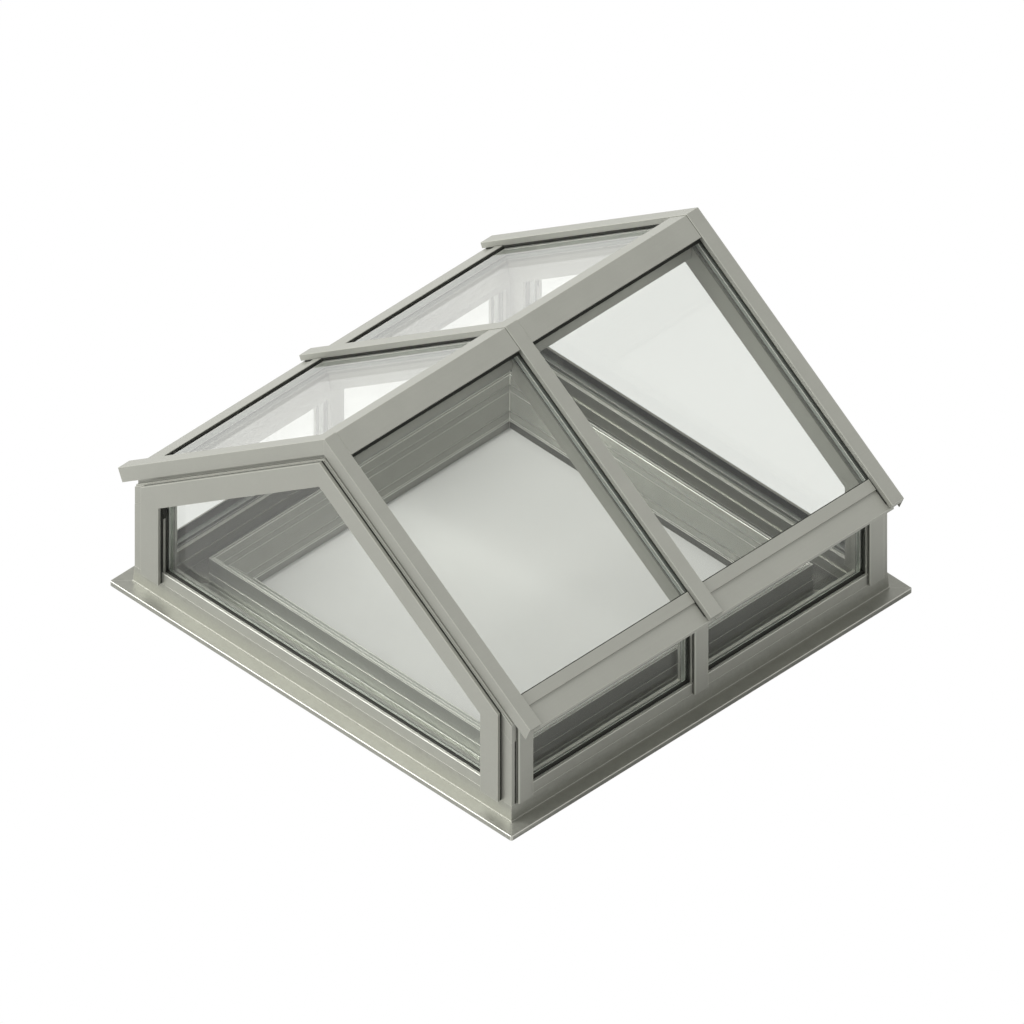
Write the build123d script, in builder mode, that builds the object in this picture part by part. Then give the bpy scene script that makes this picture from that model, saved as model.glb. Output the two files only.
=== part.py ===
from build123d import *
from math import cos, radians, sin, tan
import os

os.makedirs("parts", exist_ok=True)

# Roof skylight: a mitred curb carries low glazed walls and a gabled glass roof.
# Millimetres. X runs across the ridge and Y along it. Z is up from the underside of
# the curb flange. Front is -Y and right is +X. A depth is measured square to the
# slope from the cap tops, a run is measured down the slope from the ridge line, and
# an inset is measured inwards from the wall plane of the curb.

# Overall size
curb_width = 1500.0
curb_length = 1476.0
ridge_height = 951.0
roof_pitch = 35.0

# Curb rails
flange_width = 46.5
flange_thickness = 16.0
flange_edge_radius = 2.5
flange_corner_radius = 6.0
foot_height = 8.0
toe_width = 2.0
toe_height = 3.0
rail_height = 69.0
rail_wall = 4.0
flare_share = 0.3
glazing_leg_height = 21.0
rail_rib_start = 25.0
rail_rib_height = 21.0
rail_rib_depth = 4.0

# Inner upstands
trough_width = 87.0
trough_web = 6.0
trough_fillet = 4.0
upstand_height = 99.0
upstand_wall = 4.0
rim_width = 11.0
rim_groove_width = 4.0
rim_groove_depth = 2.0
recess_height = 17.0
recess_start = 45.0
recess_depth = 2.0
reveal_width = 81.0
reveal_lip_height = 26.0
reveal_step_depth = 4.0
upper_step_start = 0.215
upper_step_end = 0.355
lower_step_start = 0.78
lower_step_end = 0.95
chamber_top_share = 0.1

# Wall glazing, from the outside inwards
frame_setback = 3.0
bead_thickness = 11.0
bead_height = 38.0
bead_edge_radius = 2.0
sill_gasket_thickness = 5.0
sill_gasket_rise = 3.5
sill_gasket_slope = 2.5
pane_thickness = 6.0
cavity_thickness = 16.0
wall_inner_gasket = 4.0
glazing_leg_thickness = 11.0
leg_reach = 17.0
rake_leg_reach = 19.0
edge_clearance = 5.0
fit_gap = 0.5
setting_block_height = 7.0
setting_block_length = 100.0
setting_block_share = 0.25
gasket_show = 4.0
inner_gasket_show = 2.0

# Spacer frames of the glass units
spacer_inset = 8.0
spacer_width = 12.0

# Posts
post_width = 92.0
post_depth = 60.0
post_wall = 4.0
post_groove_inset = 13.0
post_groove_width = 7.0
post_groove_depth = 8.0
post_seal_thickness = 3.0
mid_post_width = 20.0

# Roof stack, from the cap tops down
cap_depth = 18.0
roof_outer_gasket = 4.0
roof_inner_gasket = 6.0
rafter_depth = 60.0
gable_rafter_depth = 55.0
rafter_width = 54.0
tongue_width = 10.0
gable_tongue_setback = 5.0
section_wall = 4.0

# Ridge and eave beams
ridge_beam_width = 60.0
ridge_beam_depth = 65.0
ridge_fin_width = 16.0
ridge_glass_gap = 14.0
eave_beam_depth = 58.5
eave_lip_thickness = 14.0
eave_pocket_depth = 15.0
eave_chamfer = 15.0

# Caps
cap_width = 46.0
cap_sheet = 2.5
cap_slot_width = 16.0
cap_edge_radius = 1.5
cap_end_x = 817.0
cap_end_tilt = 23.0
cap_skirt_sheet = 2.0
cap_skirt_depth = 45.0
rake_groove_width = 12.0
rake_groove_depth = 8.0
ridge_cap_width = 76.0
ridge_cap_sheet = 3.0
ridge_cap_sink = 2.0
cap_joint_gap = 1.0
ridge_gasket_show = 8.0

# Eave trim
retainer_width = 36.0
retainer_thickness = 6.0
retainer_overlap = 18.0
retainer_lip_width = 3.0
flashing_sheet = 3.0
flashing_leg_inset = 30.0
flashing_overhang = 48.0
drip_height = 10.0
drip_hook = 8.0

# Gable retainer frames and side covers
plate_thickness = 10.0
plate_width = 70.0
plate_edge_radius = 1.5
plate_lift = 1.0
plate_seal_thickness = 6.0
cover_thickness = 7.0
cover_seal_thickness = 3.0
cover_edge_radius = 3.5
face_seal_inset = 1.0
cover_top_gap = 13.5

# Plan lines that the pieces share
glass_thickness = 2 * pane_thickness + cavity_thickness
half_width = curb_width / 2
half_length = curb_length / 2
glass_inset = frame_setback + bead_thickness + sill_gasket_thickness
leg_inset = glass_inset + glass_thickness + wall_inner_gasket
curb_inset = leg_inset + glazing_leg_thickness
upstand_inset = curb_inset + trough_width
opening_inset = upstand_inset + rim_width + reveal_width
frame_x = half_width - frame_setback
frame_y = half_length - frame_setback
glass_face_x = half_width - glass_inset
glass_face_y = half_length - glass_inset
leg_face_x = half_width - leg_inset
leg_face_y = half_length - leg_inset
leg_back_x = half_width - curb_inset
leg_back_y = half_length - curb_inset
post_inner_x = frame_x - post_width
post_inner_y = frame_y - post_depth
post_leg_x = post_inner_x - leg_reach
post_leg_y = post_inner_y - leg_reach
mid_post_half = mid_post_width / 2
mid_leg_half = mid_post_half + leg_reach
side_glass_start = mid_post_half + edge_clearance
side_glass_end = post_inner_y - edge_clearance
gable_glass_half = post_inner_x - edge_clearance

# Depths and runs that the roof pieces share
glass_top_depth = cap_depth + roof_outer_gasket
glass_bottom_depth = glass_top_depth + glass_thickness
frame_depth = glass_bottom_depth + roof_inner_gasket
rafter_bottom = frame_depth + rafter_depth
eave_top_x = leg_back_x + eave_chamfer
gable_rafter_bottom = frame_depth + gable_rafter_depth
rake_leg_depth = gable_rafter_bottom + rake_leg_reach
gable_glass_depth = gable_rafter_bottom + edge_clearance
slope_cos = cos(radians(roof_pitch))
slope_sin = sin(radians(roof_pitch))
rafter_half = rafter_width / 2
tongue_half = tongue_width / 2
ridge_half = ridge_beam_width / 2
ridge_fin_half = ridge_fin_width / 2
roof_glass_start_y = tongue_half + edge_clearance
gable_tongue_outer = frame_y - gable_tongue_setback
cap_half = cap_width / 2
gable_cap_outer = gable_tongue_outer + cap_skirt_sheet
gable_cap_inner = gable_cap_outer - cap_width
roof_glass_end_y = gable_cap_inner + cap_half - roof_glass_start_y
gable_tongue_inner = roof_glass_end_y + edge_clearance


def run_at(x, depth):
    """Run down the slope at a distance from the ridge line and a depth."""
    return (x + depth * slope_sin) / slope_cos


def height_at(x, depth):
    """Height of the plane of one depth at a distance from the ridge line."""
    return ridge_height - abs(x) * slope_sin / slope_cos - depth / slope_cos


def on_slope(run, depth):
    """Section point (x, z) of the right slope."""
    return (run * slope_cos - depth * slope_sin, ridge_height - run * slope_sin - depth * slope_cos)


roof_glass_start = run_at(ridge_fin_half + ridge_glass_gap, glass_bottom_depth)
flashing_leg_run = run_at(frame_x, frame_depth) - flashing_leg_inset
roof_glass_end = flashing_leg_run - edge_clearance
flashing_end = flashing_leg_run + flashing_leg_inset + flashing_overhang
eave_top = height_at(frame_x, frame_depth)
eave_bottom = eave_top - eave_beam_depth
eave_shoulder = height_at(leg_back_x, rafter_bottom)
retainer_start = roof_glass_end - retainer_overlap
side_glass_top = eave_bottom + eave_pocket_depth - edge_clearance
glass_bottom = rail_height + setting_block_height
bead_top = rail_height + bead_height
sill_gasket_top = bead_top + sill_gasket_rise
plate_bottom = rail_height + plate_lift
plate_inner_x = post_leg_x
plate_outer_x = plate_inner_x + plate_width
plate_outer_depth = rake_leg_depth - plate_width
cover_height = eave_top - cover_top_gap - plate_bottom
post_groove_y = frame_y - post_groove_inset
cover_corner_y = post_groove_y - post_groove_width

front = Vector(0, -1, 0)
right = Vector(1, 0, 0)
up = Vector(0, 0, 1)


def save(part, name):
    """Name a finished piece and write it."""
    part.label = name
    export_step(part, f"parts/{name}.step")


def mirrored(part, about):
    """Opposite hand of a piece."""
    with BuildPart() as twin:
        mirror(part, about=about)
    return twin.part


def save_pair(part, stem, near, far, about):
    """Write a piece and its twin on the opposite side."""
    save(part, f"{stem}_{near}")
    save(mirrored(part, about), f"{stem}_{far}")


def save_four(part, stem):
    """Write a front right piece and its twins in the other three quarters."""
    save_pair(part, stem, "front_right", "front_left", Plane.YZ)
    save_pair(mirrored(part, Plane.XZ), stem, "rear_right", "rear_left", Plane.YZ)


def wall_section(facing, wall_distance):
    """Plane across one wall: inset from the wall plane to the right, height upwards."""
    inwards = facing * -1
    return Plane(origin=facing * wall_distance, x_dir=inwards, z_dir=inwards.cross(up))


def slope_face(depth):
    """Plane along the right slope: run to the right, Y upwards, normal out of the roof."""
    x, z = on_slope(0, depth)
    return Plane(origin=(x, 0, z), x_dir=(slope_cos, 0, -slope_sin), z_dir=(slope_sin, 0, slope_cos))


def mitre(facing, along, wall_distance, half_run):
    """Cut both ends of a curb piece at 45 degrees through the corners of the walls."""
    for end in (-1, 1):
        corner = facing * wall_distance + along * (end * half_run)
        outwards = along * end - facing
        split(bisect_by=Plane(origin=corner, z_dir=outwards), keep=Keep.BOTTOM)


def patch(x_start, x_end, y_start, y_end, mode=Mode.ADD):
    """Rectangle between two pairs of lines of the sketch."""
    with Locations(((x_start + x_end) / 2, (y_start + y_end) / 2)):
        Rectangle(abs(x_end - x_start), abs(y_end - y_start), mode=mode)


def slope_band(x_start, x_end, depth_top, depth_bottom, mode=Mode.ADD):
    """Strip of the right slope between two depths, with vertical ends."""
    Polygon(
        (x_start, height_at(x_start, depth_bottom)),
        (x_end, height_at(x_end, depth_bottom)),
        (x_end, height_at(x_end, depth_top)),
        (x_start, height_at(x_start, depth_top)),
        align=None,
        mode=mode,
    )


def gable_outline(half_span, bottom, depth, mode=Mode.ADD):
    """House-shaped outline under the plane of one depth."""
    shoulder = height_at(half_span, depth)
    Polygon(
        (-half_span, bottom),
        (half_span, bottom),
        (half_span, shoulder),
        (0, height_at(0, depth)),
        (-half_span, shoulder),
        align=None,
        mode=mode,
    )


def glass_ring(inset, width, outline):
    """Ring inside a glass edge: an outline function drawn at one inset less one further in."""
    outline(inset, Mode.ADD)
    outline(inset + width, Mode.SUBTRACT)


def roof_glass_outline(inset, mode):
    """Front right roof unit, drawn along the slope."""
    patch(
        roof_glass_start + inset,
        roof_glass_end - inset,
        -roof_glass_end_y + inset,
        -roof_glass_start_y - inset,
        mode,
    )


def side_glass_outline(inset, mode):
    """Front right side unit, drawn on the YZ plane."""
    patch(
        -side_glass_end + inset,
        -side_glass_start - inset,
        glass_bottom + inset,
        side_glass_top - inset,
        mode,
    )


def gable_glass_outline(inset, mode):
    """Front gable unit, drawn on the XZ plane."""
    gable_outline(gable_glass_half - inset, glass_bottom + inset, gable_glass_depth + inset, mode)


# Curb rails: flange, hollow rail with a flared face and an inner rib, and the glazing leg
def curb_rail(facing, along, wall_distance, half_run):
    """Mitred curb rail without its glazing leg."""
    with BuildPart() as rail:
        with BuildSketch(wall_section(facing, wall_distance)) as section:
            with BuildLine():
                foot_top = flange_thickness + foot_height
                toe_top = flange_thickness + toe_height
                Polyline(
                    (0, foot_top),
                    (0, toe_top),
                    (-toe_width, toe_top),
                    (-toe_width, flange_thickness),
                    (-flange_width, flange_thickness),
                    (-flange_width, 0),
                    (curb_inset, 0),
                    (curb_inset, rail_height),
                    (frame_setback, rail_height),
                )
                flare_middle = (frame_setback * flare_share, (foot_top + rail_height) / 2)
                ThreePointArc((frame_setback, rail_height), flare_middle, (0, foot_top))
            make_face()
            fillet(section.vertices().group_by(Axis.X)[0].sort_by(Axis.Y)[-1], flange_edge_radius)
            patch(
                frame_setback + rail_wall,
                curb_inset - rail_wall,
                rail_wall,
                rail_height - rail_wall,
                Mode.SUBTRACT,
            )
            patch(
                curb_inset,
                curb_inset + rail_rib_depth,
                rail_rib_start,
                rail_rib_start + rail_rib_height,
            )
        extrude(amount=half_run + flange_width, both=True)
        mitre(facing, along, wall_distance, half_run)
        with BuildSketch(Plane.XY):
            RectangleRounded(
                curb_width + 2 * flange_width,
                curb_length + 2 * flange_width,
                flange_corner_radius,
            )
        extrude(amount=rail_height, mode=Mode.INTERSECT)
    return rail.part


with BuildPart() as front_rail:
    add(curb_rail(front, right, half_length, half_width))
    with BuildSketch(Plane.XY.offset(rail_height)):
        patch(-post_leg_x, post_leg_x, -leg_face_y, -leg_back_y)
    extrude(amount=glazing_leg_height)
save_pair(front_rail.part, "curb_rail", "front", "rear", Plane.XZ)

with BuildPart() as right_rail:
    add(curb_rail(right, front, half_width, half_length))
    with BuildSketch(Plane.XY.offset(rail_height)):
        patch(leg_back_x, leg_face_x, -post_leg_y, -mid_leg_half)
        patch(leg_back_x, leg_face_x, mid_leg_half, post_leg_y)
    extrude(amount=glazing_leg_height)
save_pair(right_rail.part, "curb_rail", "right", "left", Plane.YZ)


# Inner upstands: trough web, upright with a shallow recess, rim and stepped splayed reveal
def reveal_point(share, depth):
    """Point a share of the way down the splayed reveal, sunk by a depth."""
    drop = upstand_height - reveal_lip_height
    length = (reveal_width**2 + drop**2) ** 0.5
    inset = upstand_inset + rim_width + share * reveal_width - depth * drop / length
    return (inset, upstand_height - share * drop - depth * reveal_width / length)


def inner_upstand(facing, along, wall_distance, half_run):
    """Mitred upstand of one side."""
    groove_start = upstand_inset + (rim_width - rim_groove_width) / 2
    with BuildPart() as upstand:
        with BuildSketch(wall_section(facing, wall_distance)) as section:
            Polygon(
                (curb_inset, 0),
                (opening_inset, 0),
                (opening_inset, reveal_lip_height),
                (upstand_inset + rim_width, upstand_height),
                (upstand_inset, upstand_height),
                (upstand_inset, trough_web),
                (curb_inset, trough_web),
                align=None,
            )
            trough_corner = section.vertices().group_by(Axis.X)[1].sort_by(Axis.Y)[0]
            fillet(trough_corner, trough_fillet)
            patch(
                upstand_inset,
                upstand_inset + recess_depth,
                recess_start,
                recess_start + recess_height,
                Mode.SUBTRACT,
            )
            patch(
                groove_start,
                groove_start + rim_groove_width,
                upstand_height - rim_groove_depth,
                upstand_height,
                Mode.SUBTRACT,
            )
            upper_step = (upper_step_start, upper_step_end)
            lower_step = (lower_step_start, lower_step_end)
            for start, end in (upper_step, lower_step):
                Polygon(
                    reveal_point(start, 0),
                    reveal_point(start, reveal_step_depth),
                    reveal_point(end, reveal_step_depth),
                    reveal_point(end, 0),
                    align=None,
                    mode=Mode.SUBTRACT,
                )
            chamber_inset = upstand_inset + recess_depth + upstand_wall
            chamber_drop = reveal_step_depth + upstand_wall
            chamber_top = reveal_point(chamber_top_share, chamber_drop)
            chamber_foot = reveal_point(1, chamber_drop)
            Polygon(
                (chamber_inset, upstand_wall),
                (opening_inset - upstand_wall, upstand_wall),
                (opening_inset - upstand_wall, chamber_foot[1]),
                chamber_foot,
                chamber_top,
                (chamber_inset, chamber_top[1]),
                align=None,
                mode=Mode.SUBTRACT,
            )
        extrude(amount=half_run, both=True)
        mitre(facing, along, wall_distance, half_run)
    return upstand.part


save_pair(inner_upstand(front, right, half_length, half_width), "inner_upstand", "front", "rear", Plane.XZ)
save_pair(inner_upstand(right, front, half_width, half_length), "inner_upstand", "right", "left", Plane.YZ)

# Corner post: hollow box with glazing rebates on both sides, cut to the gable rafter
with BuildPart() as corner_post:
    with BuildSketch(Plane.XY.offset(rail_height)):
        Polygon(
            (frame_x, -frame_y),
            (frame_x, -post_inner_y),
            (leg_face_x, -post_inner_y),
            (leg_face_x, -post_leg_y),
            (leg_back_x, -post_leg_y),
            (leg_back_x, -leg_back_y),
            (post_leg_x, -leg_back_y),
            (post_leg_x, -leg_face_y),
            (post_inner_x, -leg_face_y),
            (post_inner_x, -frame_y),
            align=None,
        )
        patch(frame_x - post_groove_depth, frame_x, -post_groove_y, -cover_corner_y, Mode.SUBTRACT)
        patch(
            post_inner_x + post_wall,
            frame_x - post_groove_depth - post_wall,
            -frame_y + post_wall,
            -leg_face_y - post_wall,
            Mode.SUBTRACT,
        )
    extrude(amount=ridge_height - rail_height)
    split(bisect_by=slope_face(gable_rafter_bottom), keep=Keep.BOTTOM)
    with BuildSketch(Plane.XY.offset(eave_bottom)):
        patch(leg_back_x, frame_x, -leg_back_y, -post_leg_y)
    extrude(amount=ridge_height, mode=Mode.SUBTRACT)
save_four(corner_post.part, "corner_post")

# Mid post: tongue between the two side units and a flat leg behind them
with BuildPart() as mid_post:
    with BuildSketch(Plane.XY.offset(rail_height)):
        patch(leg_face_x, frame_x, -mid_post_half, mid_post_half)
        patch(leg_back_x, leg_face_x, -mid_leg_half, mid_leg_half)
        patch(
            leg_face_x,
            frame_x - post_wall,
            -mid_post_half + post_wall,
            mid_post_half - post_wall,
            Mode.SUBTRACT,
        )
    extrude(amount=eave_bottom - rail_height)
save_pair(mid_post.part, "mid_post", "right", "left", Plane.YZ)

# Eave beam: hollow head of the side wall, with a pocket for the side units and a leaning inner face
with BuildPart() as eave_beam:
    with BuildSketch(Plane.XZ):
        Polygon(
            (leg_back_x, eave_bottom),
            (frame_x, eave_bottom),
            (frame_x, eave_top),
            (eave_top_x, height_at(eave_top_x, frame_depth)),
            (leg_back_x, eave_shoulder),
            align=None,
        )
        pocket_top = eave_bottom + eave_pocket_depth
        patch(leg_face_x, frame_x - eave_lip_thickness, eave_bottom, pocket_top, Mode.SUBTRACT)
        chamber_inner = leg_back_x + section_wall
        chamber_outer = frame_x - section_wall
        chamber_depth = frame_depth + section_wall
        Polygon(
            (chamber_inner, pocket_top + section_wall),
            (chamber_outer, pocket_top + section_wall),
            (chamber_outer, height_at(chamber_outer, chamber_depth)),
            (eave_top_x + section_wall, height_at(eave_top_x + section_wall, chamber_depth)),
            (chamber_inner, eave_shoulder),
            align=None,
            mode=Mode.SUBTRACT,
        )
    extrude(amount=leg_back_y, both=True)
save_pair(eave_beam.part, "eave_beam", "right", "left", Plane.YZ)

# Ridge beam: hollow beam with a fin between the roof units
with BuildPart() as ridge_beam:
    ridge_bottom = height_at(0, frame_depth) - ridge_beam_depth
    with BuildSketch(Plane.XZ):
        chamber_half = ridge_half - section_wall
        Polygon(
            (0, ridge_bottom),
            (ridge_half, ridge_bottom),
            (ridge_half, height_at(ridge_half, frame_depth)),
            (ridge_fin_half, height_at(ridge_fin_half, frame_depth)),
            (ridge_fin_half, height_at(ridge_fin_half, cap_depth)),
            (0, height_at(0, cap_depth)),
            align=None,
        )
        Polygon(
            (0, ridge_bottom + section_wall),
            (chamber_half, ridge_bottom + section_wall),
            (chamber_half, height_at(chamber_half, frame_depth + section_wall)),
            (0, height_at(0, frame_depth + section_wall)),
            align=None,
            mode=Mode.SUBTRACT,
        )
        mirror(about=Plane.YZ)
    extrude(amount=leg_back_y, both=True)
save(ridge_beam.part, "ridge_beam")

# Mid rafter: hollow body between ridge and eave beams, with a tongue over both
with BuildPart() as mid_rafter:
    with BuildSketch(Plane.XZ):
        slope_band(ridge_half, eave_top_x, frame_depth, rafter_bottom)
    extrude(amount=rafter_half, both=True)
    with BuildSketch(Plane.XZ):
        slope_band(ridge_half, eave_top_x, frame_depth + section_wall, rafter_bottom - section_wall)
    extrude(amount=rafter_half - section_wall, both=True, mode=Mode.SUBTRACT)
    beam_face_height = height_at(eave_top_x, frame_depth) - eave_shoulder
    beam_face = Plane(origin=(leg_back_x, 0, eave_shoulder), z_dir=(beam_face_height, 0, -eave_chamfer))
    split(bisect_by=beam_face, keep=Keep.BOTTOM)
    with BuildSketch(Plane.XZ):
        slope_band(ridge_fin_half, frame_x, cap_depth, frame_depth)
    extrude(amount=tongue_half, both=True)
save_pair(mid_rafter.part, "mid_rafter", "right", "left", Plane.YZ)

# Gable rafter: hollow body on the corner posts, a leg behind the gable glass, a tongue under the cap
with BuildPart() as gable_rafter:
    with BuildSketch(Plane.XZ.offset(leg_back_y)):
        slope_band(0, frame_x, frame_depth, gable_rafter_bottom)
    extrude(amount=gable_tongue_outer - leg_back_y)
    with BuildSketch(Plane.XZ.offset(gable_tongue_outer)):
        slope_band(0, frame_x, plate_outer_depth + face_seal_inset, gable_rafter_bottom)
    extrude(amount=frame_y - gable_tongue_outer)
    with BuildSketch(Plane.XZ.offset(gable_tongue_inner)):
        slope_band(0, frame_x, cap_depth, frame_depth)
    extrude(amount=gable_tongue_outer - gable_tongue_inner)
    with BuildSketch(Plane.XZ.offset(leg_back_y)):
        slope_band(0, post_leg_x, gable_rafter_bottom, rake_leg_depth)
    extrude(amount=leg_face_y - leg_back_y)
    with BuildSketch(Plane.XZ.offset(leg_back_y + section_wall)):
        slope_band(
            0,
            frame_x - section_wall,
            frame_depth + section_wall,
            gable_rafter_bottom - section_wall,
        )
    extrude(amount=gable_tongue_outer - leg_back_y - 2 * section_wall, mode=Mode.SUBTRACT)
    with BuildSketch(Plane.XZ.offset(gable_tongue_outer - rake_groove_depth)):
        slope_band(0, frame_x, cap_skirt_depth, cap_skirt_depth + rake_groove_width)
    extrude(amount=rake_groove_depth, mode=Mode.SUBTRACT)
save_four(gable_rafter.part, "gable_rafter")


# Rafter caps: slotted box sections, mitred at the ridge and closed at the eave
def cut_cap_ends(setback):
    """Mitre a cap at the ridge line and cut its lower end back, short of the tip by a setback."""
    split(bisect_by=Plane.YZ, keep=Keep.TOP)
    tilt = radians(cap_end_tilt)
    end_point = Vector(cap_end_x, 0, height_at(cap_end_x, 0))
    end_normal = Vector(cos(tilt), 0, -sin(tilt))
    split(bisect_by=Plane(origin=end_point - end_normal * setback, z_dir=end_normal), keep=Keep.BOTTOM)


cap_stock = run_at(cap_end_x, cap_skirt_depth) + cap_width
cap_start = Plane(
    origin=(-cap_width * slope_cos, 0, ridge_height + cap_width * slope_sin),
    x_dir=(0, 1, 0),
    z_dir=(slope_cos, 0, -slope_sin),
)


def cap_outline(centre):
    """Outer section of a cap, centred on one rafter."""
    patch(centre - cap_half, centre + cap_half, -cap_depth, 0)


def cap_hollow(centre):
    """Chamber and slot of a cap, stopped short of its closed lower end."""
    with BuildPart() as hollow:
        with BuildSketch(cap_start):
            patch(
                centre - cap_half + cap_sheet,
                centre + cap_half - cap_sheet,
                cap_sheet - cap_depth,
                -cap_sheet,
            )
            patch(
                centre - cap_slot_width / 2,
                centre + cap_slot_width / 2,
                -cap_depth,
                cap_sheet - cap_depth,
            )
        extrude(amount=cap_stock)
        cut_cap_ends(cap_sheet)
    return hollow.part


mid_cap_hollow = cap_hollow(0)
with BuildPart() as mid_cap:
    with BuildSketch(cap_start) as section:
        cap_outline(0)
        fillet(section.vertices().group_by(Axis.Y)[-1], cap_edge_radius)
    extrude(amount=cap_stock)
    cut_cap_ends(0)
    add(mid_cap_hollow, mode=Mode.SUBTRACT)
save_pair(mid_cap.part, "mid_rafter_cap", "right", "left", Plane.YZ)

gable_cap_centre = -gable_cap_inner - cap_half
gable_cap_hollow = cap_hollow(gable_cap_centre)
with BuildPart() as gable_cap:
    with BuildSketch(cap_start) as section:
        cap_outline(gable_cap_centre)
        fillet(section.vertices().group_by(Axis.Y)[-1], cap_edge_radius)
        patch(-gable_cap_outer, -gable_tongue_outer, -cap_skirt_depth, cap_sheet - cap_depth)
    extrude(amount=cap_stock)
    cut_cap_ends(0)
    add(gable_cap_hollow, mode=Mode.SUBTRACT)
save_four(gable_cap.part, "gable_rafter_cap")

# Ridge caps: folded sheets with turned-down edges between the rafter caps
with BuildPart() as ridge_cap:
    bay_start = cap_half + cap_joint_gap
    bay_end = gable_cap_inner - cap_joint_gap
    with BuildSketch(Plane.XZ.offset(bay_start)):
        under_sheet = ridge_cap_sink + ridge_cap_sheet
        Polygon(
            (0, height_at(0, ridge_cap_sink)),
            (0, height_at(0, under_sheet)),
            on_slope(ridge_cap_width - ridge_cap_sheet, under_sheet),
            on_slope(ridge_cap_width - ridge_cap_sheet, cap_depth),
            on_slope(ridge_cap_width, cap_depth),
            on_slope(ridge_cap_width, ridge_cap_sink),
            align=None,
        )
        mirror(about=Plane.YZ)
    extrude(amount=bay_end - bay_start)
save_pair(ridge_cap.part, "ridge_cap", "front", "rear", Plane.XZ)

# Gable retainer frames: plates over the posts and gable rafters, on a black seal
with BuildPart() as gable_frame:
    with BuildSketch(Plane.XZ.offset(frame_y + plate_seal_thickness)):
        gable_outline(plate_outer_x, plate_bottom, plate_outer_depth)
        gable_outline(plate_inner_x, plate_bottom, rake_leg_depth, Mode.SUBTRACT)
    extrude(amount=plate_thickness)
    fillet(gable_frame.faces().sort_by(Axis.Y)[0].edges(), plate_edge_radius)
save_pair(gable_frame.part, "gable_frame", "front", "rear", Plane.XZ)


# Side covers: rounded strips over the side edges of the side units, on black seals
def cover_strips(x_start, x_end, inset):
    """The three cover strips of one side in plan, each drawn in by an inset."""
    patch(x_start, x_end, -cover_corner_y + inset, -post_leg_y - inset)
    patch(x_start, x_end, -mid_leg_half + inset, mid_leg_half - inset)
    patch(x_start, x_end, post_leg_y + inset, cover_corner_y - inset)


with BuildPart() as side_covers:
    with BuildSketch(Plane.XY.offset(plate_bottom)) as section:
        cover_back_x = frame_x + cover_seal_thickness
        cover_strips(cover_back_x, cover_back_x + cover_thickness, 0)
        fillet(section.vertices().group_by(Axis.X)[-1], cover_edge_radius)
    extrude(amount=cover_height)
save_pair(side_covers.part, "side_covers", "right", "left", Plane.YZ)


# Sill beads: snap-in strips that hold the lower edges of the units
def bead_section():
    """Section of a sill bead, standing on the rail in front of the glass."""
    patch(frame_setback, frame_setback + bead_thickness, rail_height, bead_top)


with BuildPart() as front_bead:
    with BuildSketch(wall_section(front, half_length)) as section:
        bead_section()
        fillet(section.vertices().group_by(Axis.Y)[-1], bead_edge_radius)
    extrude(amount=post_inner_x - fit_gap, both=True)
save_pair(front_bead.part, "sill_bead", "front", "rear", Plane.XZ)

with BuildPart() as right_bead:
    with BuildSketch(wall_section(right, half_width).offset(mid_post_half + fit_gap)) as section:
        bead_section()
        fillet(section.vertices().group_by(Axis.Y)[-1], bead_edge_radius)
    extrude(amount=post_inner_y - mid_post_half - 2 * fit_gap)
    mirror(about=Plane.XZ)
save_pair(right_bead.part, "sill_bead", "right", "left", Plane.YZ)

# Eave retainers: flat bars over the lower edges of the roof units
trim_start = cap_half + inner_gasket_show + cap_joint_gap
trim_end = gable_cap_inner - inner_gasket_show - cap_joint_gap
with BuildPart() as eave_retainer:
    with BuildSketch(slope_face(glass_top_depth)):
        patch(retainer_start, retainer_start + retainer_width, -trim_end, -trim_start)
    extrude(amount=retainer_thickness)
    mirror(about=Plane.XZ)
save_pair(eave_retainer.part, "eave_retainer", "right", "left", Plane.YZ)

# Eave flashings: sheets with a leg on the eave beam and a drip edge
with BuildPart() as eave_flashing:
    flashing_bottom = glass_top_depth + flashing_sheet
    drip_x, drip_top = on_slope(flashing_end, glass_top_depth)
    with BuildSketch(Plane.XZ.offset(tongue_half + cap_joint_gap)):
        Polygon(
            on_slope(flashing_leg_run, glass_top_depth),
            on_slope(flashing_leg_run, frame_depth),
            on_slope(flashing_leg_run + flashing_sheet, frame_depth),
            on_slope(flashing_leg_run + flashing_sheet, flashing_bottom),
            on_slope(run_at(drip_x - flashing_sheet, flashing_bottom), flashing_bottom),
            (drip_x - flashing_sheet, drip_top - drip_height + flashing_sheet),
            (drip_x - drip_hook, drip_top - drip_height + flashing_sheet),
            (drip_x - drip_hook, drip_top - drip_height),
            (drip_x, drip_top - drip_height),
            (drip_x, drip_top),
            align=None,
        )
    extrude(amount=gable_tongue_inner - tongue_half - 2 * cap_joint_gap)
    mirror(about=Plane.XZ)
save_pair(eave_flashing.part, "eave_flashing", "right", "left", Plane.YZ)


# Glass units: two panes each, with the cavity between them left open
with BuildPart() as roof_glass:
    for depth in (glass_bottom_depth, glass_top_depth + pane_thickness):
        with BuildSketch(slope_face(depth)):
            roof_glass_outline(0, Mode.ADD)
        extrude(amount=pane_thickness)
save_four(roof_glass.part, "roof_glass")

with BuildPart() as side_glass:
    for x in (glass_face_x - glass_thickness, glass_face_x - pane_thickness):
        with BuildSketch(Plane.YZ.offset(x)):
            side_glass_outline(0, Mode.ADD)
        extrude(amount=pane_thickness)
save_four(side_glass.part, "side_glass")

with BuildPart() as gable_glass:
    for y in (glass_face_y - glass_thickness, glass_face_y - pane_thickness):
        with BuildSketch(Plane.XZ.offset(y)):
            gable_glass_outline(0, Mode.ADD)
        extrude(amount=pane_thickness)
save_pair(gable_glass.part, "gable_glass", "front", "rear", Plane.XZ)

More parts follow.
